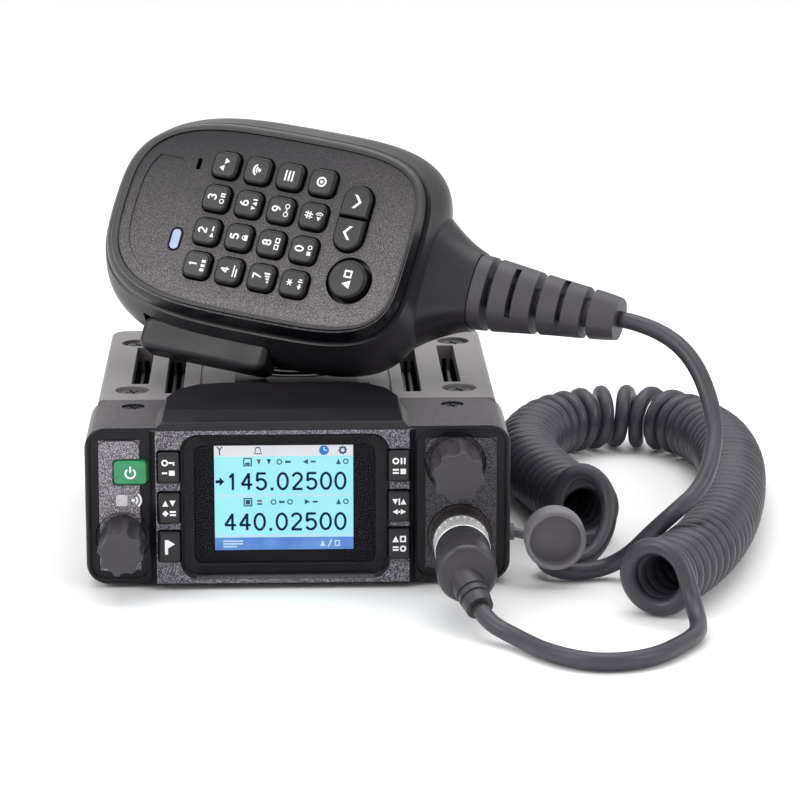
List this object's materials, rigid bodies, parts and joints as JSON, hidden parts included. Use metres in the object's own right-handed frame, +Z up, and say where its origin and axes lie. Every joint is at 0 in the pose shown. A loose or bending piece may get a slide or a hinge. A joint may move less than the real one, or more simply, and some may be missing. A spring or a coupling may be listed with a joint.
{
  "type": "mobile transceiver",
  "caption": "Compact vehicle two-way radio with colour display and knobs, and a keypad hand microphone on a curly cord resting on its top.",
  "frame": {"origin": "middle of the front rubber foot, on the surface the set stands on", "axes": "+Z up, -Y towards the user, out of the front panel, +X to the user's right"},
  "size_m": [0.1678, 0.2052, 0.0974],
  "materials": {
    "housing_plastic": "fine textured black plastic",
    "cast_metal": "satin dark grey paint on cast aluminium",
    "display_glass": "gloss window",
    "display": "backlit display",
    "circuit_board": "green solder mask",
    "control_metal": "plain",
    "knob_plastic": "satin black plastic",
    "key_plastic": "satin black rubberised key",
    "power_key": "translucent green",
    "lamp_lens": "frosted lens",
    "plated_metal": "bright nickel plating",
    "plug_plastic": "satin black plastic",
    "soft_rubber": "matt black rubber",
    "cord_jacket": "satin black cord jacket",
    "fan_plastic": "plain black",
    "speaker_metal": "plain",
    "screw_steel": "blackened steel",
    "connector_plastic": "plain black",
    "mic_plastic": "fine textured black plastic"
  },
  "bodies": {
    "base": {"front_housing": "housing_plastic", "chassis": "cast_metal", "top_cover": "cast_metal", "bottom_cover": "cast_metal", "display_window": "display_glass", "display_panel": "display", "control_board": "circuit_board", "main_board": "circuit_board", "rotary_controls": "control_metal", "tx_lamp": "lamp_lens", "antenna_socket": "plated_metal", "mic_socket": "plated_metal", "mic_plug": "plug_plastic", "dust_cap": "soft_rubber", "rubber_feet": "soft_rubber", "coiled_cord": "cord_jacket", "mic_lead": "cord_jacket", "plug_lead": "cord_jacket", "fan_frame": "fan_plastic", "speaker": "speaker_metal", "case_screws": "screw_steel", "dc_inlet": "connector_plastic", "speaker_jack": "connector_plastic"},
    "handset": {"mic_front_shell": "mic_plastic", "mic_back_shell": "mic_plastic", "mic_board": "circuit_board", "mic_hardware": "screw_steel", "mic_lamp": "lamp_lens", "mic_strain_relief": "soft_rubber"},
    "mic_key_1": {"mic_key_1": "key_plastic"},
    "mic_key_2": {"mic_key_2": "key_plastic"},
    "mic_key_3": {"mic_key_3": "key_plastic"},
    "mic_key_a": {"mic_key_a": "key_plastic"},
    "mic_key_4": {"mic_key_4": "key_plastic"},
    "mic_key_5": {"mic_key_5": "key_plastic"},
    "mic_key_6": {"mic_key_6": "key_plastic"},
    "mic_key_b": {"mic_key_b": "key_plastic"},
    "mic_key_7": {"mic_key_7": "key_plastic"},
    "mic_key_8": {"mic_key_8": "key_plastic"},
    "mic_key_9": {"mic_key_9": "key_plastic"},
    "mic_key_c": {"mic_key_c": "key_plastic"},
    "mic_key_star": {"mic_key_star": "key_plastic"},
    "mic_key_0": {"mic_key_0": "key_plastic"},
    "mic_key_hash": {"mic_key_hash": "key_plastic"},
    "mic_key_d": {"mic_key_d": "key_plastic"},
    "mic_key_up": {"mic_key_up": "key_plastic"},
    "mic_key_down": {"mic_key_down": "key_plastic"},
    "mic_key_ab": {"mic_key_ab": "key_plastic"},
    "ptt_bar": {"ptt_bar": "mic_plastic"},
    "side_key_left_1": {"side_key_left_1": "key_plastic"},
    "side_key_left_2": {"side_key_left_2": "key_plastic"},
    "side_key_left_3": {"side_key_left_3": "key_plastic"},
    "side_key_right_1": {"side_key_right_1": "key_plastic"},
    "side_key_right_2": {"side_key_right_2": "key_plastic"},
    "side_key_right_3": {"side_key_right_3": "key_plastic"},
    "power_button": {"power_button": "power_key"},
    "volume_knob": {"volume_knob": "knob_plastic"},
    "channel_knob": {"channel_knob": "knob_plastic"},
    "fan_rotor": {"fan_rotor": "fan_plastic"},
    "plug_coupling_ring": {"plug_coupling_ring": "plated_metal"}
  },
  "joints": [
    {"name": "handset_lift", "type": "slide", "parent": "base", "child": "handset", "axis": [0, 0, 1], "range_m": [0, 0.06]},
    {"name": "mic_key_1_press", "type": "slide", "parent": "handset", "child": "mic_key_1", "axis": [0.3255, 0.8218, -0.4676], "range_m": [0, 0.0008], "stiffness_N_per_m": 700},
    {"name": "mic_key_2_press", "type": "slide", "parent": "handset", "child": "mic_key_2", "axis": [0.3255, 0.8218, -0.4676], "range_m": [0, 0.0008], "stiffness_N_per_m": 700},
    {"name": "mic_key_3_press", "type": "slide", "parent": "handset", "child": "mic_key_3", "axis": [0.3255, 0.8218, -0.4676], "range_m": [0, 0.0008], "stiffness_N_per_m": 700},
    {"name": "mic_key_a_press", "type": "slide", "parent": "handset", "child": "mic_key_a", "axis": [0.3255, 0.8218, -0.4676], "range_m": [0, 0.0008], "stiffness_N_per_m": 700},
    {"name": "mic_key_4_press", "type": "slide", "parent": "handset", "child": "mic_key_4", "axis": [0.3255, 0.8218, -0.4676], "range_m": [0, 0.0008], "stiffness_N_per_m": 700},
    {"name": "mic_key_5_press", "type": "slide", "parent": "handset", "child": "mic_key_5", "axis": [0.3255, 0.8218, -0.4676], "range_m": [0, 0.0008], "stiffness_N_per_m": 700},
    {"name": "mic_key_6_press", "type": "slide", "parent": "handset", "child": "mic_key_6", "axis": [0.3255, 0.8218, -0.4676], "range_m": [0, 0.0008], "stiffness_N_per_m": 700},
    {"name": "mic_key_b_press", "type": "slide", "parent": "handset", "child": "mic_key_b", "axis": [0.3255, 0.8218, -0.4676], "range_m": [0, 0.0008], "stiffness_N_per_m": 700},
    {"name": "mic_key_7_press", "type": "slide", "parent": "handset", "child": "mic_key_7", "axis": [0.3255, 0.8218, -0.4676], "range_m": [0, 0.0008], "stiffness_N_per_m": 700},
    {"name": "mic_key_8_press", "type": "slide", "parent": "handset", "child": "mic_key_8", "axis": [0.3255, 0.8218, -0.4676], "range_m": [0, 0.0008], "stiffness_N_per_m": 700},
    {"name": "mic_key_9_press", "type": "slide", "parent": "handset", "child": "mic_key_9", "axis": [0.3255, 0.8218, -0.4676], "range_m": [0, 0.0008], "stiffness_N_per_m": 700},
    {"name": "mic_key_c_press", "type": "slide", "parent": "handset", "child": "mic_key_c", "axis": [0.3255, 0.8218, -0.4676], "range_m": [0, 0.0008], "stiffness_N_per_m": 700},
    {"name": "mic_key_star_press", "type": "slide", "parent": "handset", "child": "mic_key_star", "axis": [0.3255, 0.8218, -0.4676], "range_m": [0, 0.0008], "stiffness_N_per_m": 700},
    {"name": "mic_key_0_press", "type": "slide", "parent": "handset", "child": "mic_key_0", "axis": [0.3255, 0.8218, -0.4676], "range_m": [0, 0.0008], "stiffness_N_per_m": 700},
    {"name": "mic_key_hash_press", "type": "slide", "parent": "handset", "child": "mic_key_hash", "axis": [0.3255, 0.8218, -0.4676], "range_m": [0, 0.0008], "stiffness_N_per_m": 700},
    {"name": "mic_key_d_press", "type": "slide", "parent": "handset", "child": "mic_key_d", "axis": [0.3255, 0.8218, -0.4676], "range_m": [0, 0.0008], "stiffness_N_per_m": 700},
    {"name": "mic_key_up_press", "type": "slide", "parent": "handset", "child": "mic_key_up", "axis": [0.3255, 0.8218, -0.4676], "range_m": [0, 0.0008], "stiffness_N_per_m": 700},
    {"name": "mic_key_down_press", "type": "slide", "parent": "handset", "child": "mic_key_down", "axis": [0.3255, 0.8218, -0.4676], "range_m": [0, 0.0008], "stiffness_N_per_m": 700},
    {"name": "mic_key_ab_press", "type": "slide", "parent": "handset", "child": "mic_key_ab", "axis": [0.3255, 0.8218, -0.4676], "range_m": [0, 0.0008], "stiffness_N_per_m": 700},
    {"name": "ptt_bar_press", "type": "slide", "parent": "handset", "child": "ptt_bar", "axis": [0.279, 0.389, 0.878], "range_m": [0, 0.0012], "stiffness_N_per_m": 900},
    {"name": "side_key_left_1_press", "type": "slide", "parent": "base", "child": "side_key_left_1", "axis": [0, 1, 0], "range_m": [0, 0.0008], "stiffness_N_per_m": 700},
    {"name": "side_key_left_2_press", "type": "slide", "parent": "base", "child": "side_key_left_2", "axis": [0, 1, 0], "range_m": [0, 0.0008], "stiffness_N_per_m": 700},
    {"name": "side_key_left_3_press", "type": "slide", "parent": "base", "child": "side_key_left_3", "axis": [0, 1, 0], "range_m": [0, 0.0008], "stiffness_N_per_m": 700},
    {"name": "side_key_right_1_press", "type": "slide", "parent": "base", "child": "side_key_right_1", "axis": [0, 1, 0], "range_m": [0, 0.0008], "stiffness_N_per_m": 700},
    {"name": "side_key_right_2_press", "type": "slide", "parent": "base", "child": "side_key_right_2", "axis": [0, 1, 0], "range_m": [0, 0.0008], "stiffness_N_per_m": 700},
    {"name": "side_key_right_3_press", "type": "slide", "parent": "base", "child": "side_key_right_3", "axis": [0, 1, 0], "range_m": [0, 0.0008], "stiffness_N_per_m": 700},
    {"name": "power_button_press", "type": "slide", "parent": "base", "child": "power_button", "axis": [0, 1, 0], "range_m": [0, 0.0007], "stiffness_N_per_m": 700},
    {"name": "volume_turn", "type": "hinge", "parent": "base", "child": "volume_knob", "pos_m": [-0.0405, -0.012, 0.0119], "axis": [0, 1, 0], "range_deg": [0, 300]},
    {"name": "channel_turn", "type": "hinge", "parent": "base", "child": "channel_knob", "pos_m": [0.0363, -0.012, 0.0292], "axis": [0, 1, 0], "continuous": true},
    {"name": "fan_spin", "type": "hinge", "parent": "base", "child": "fan_rotor", "pos_m": [0, 0.056, 0.0298], "axis": [0, 0, 1], "continuous": true},
    {"name": "plug_ring_turn", "type": "hinge", "parent": "base", "child": "plug_coupling_ring", "pos_m": [0.0373, -0.0225, 0.012], "axis": [0, 1, 0], "range_deg": [-540, 0]}
  ]
}
